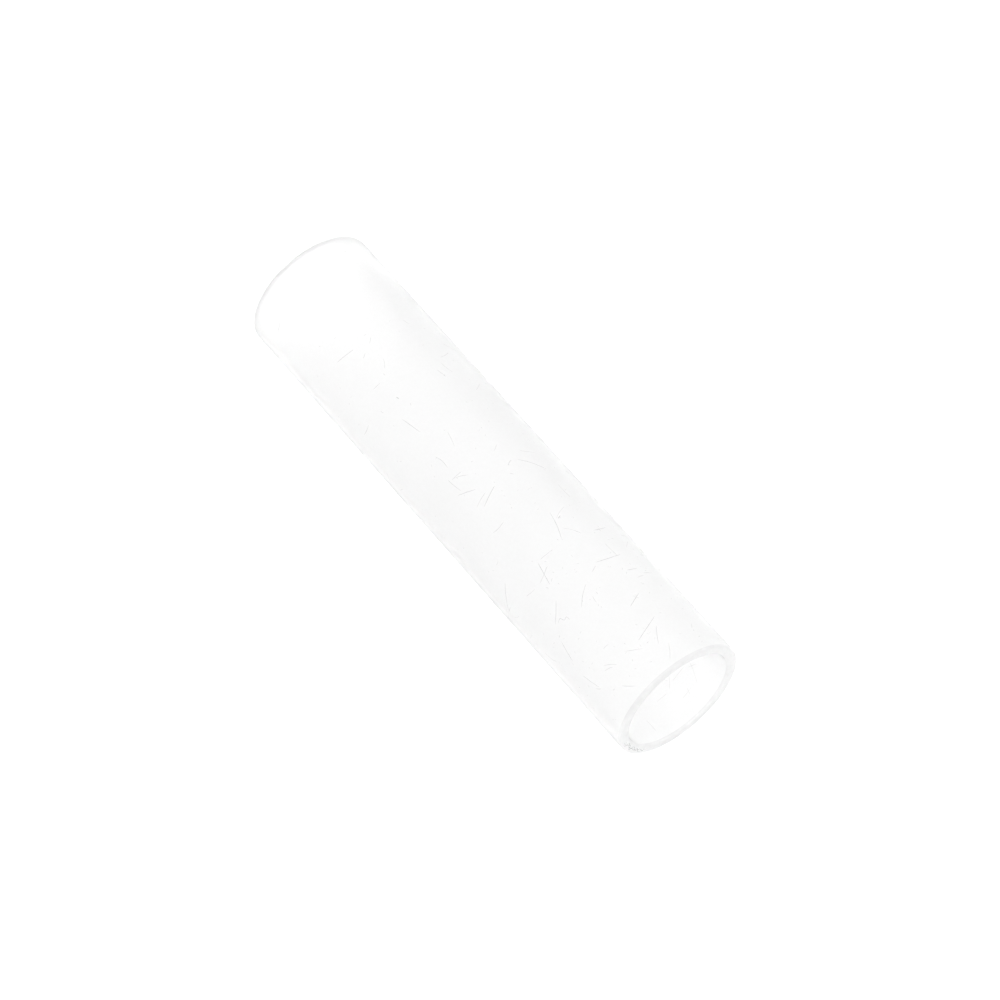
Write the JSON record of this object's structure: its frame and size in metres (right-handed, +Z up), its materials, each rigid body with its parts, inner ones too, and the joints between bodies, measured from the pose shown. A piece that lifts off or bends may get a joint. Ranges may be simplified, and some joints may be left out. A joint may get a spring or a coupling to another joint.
{
  "type": "guitar slide",
  "caption": "Long straight open-ended tube of frosted translucent glass, worn on a finger and slid along guitar strings.",
  "frame": {"origin": "on the surface that the slide lies on, below the middle of its length and of its width", "axes": "+X along the tube's axis, +Z up, away from the surface that the slide lies on"},
  "size_m": [0.094, 0.022, 0.022],
  "materials": {
    "frosted_glass": "frosted translucent white barrel with fine scratches, smoother greyish rims"
  },
  "bodies": {
    "root": {"slide_tube": "frosted_glass"}
  },
  "joints": []
}
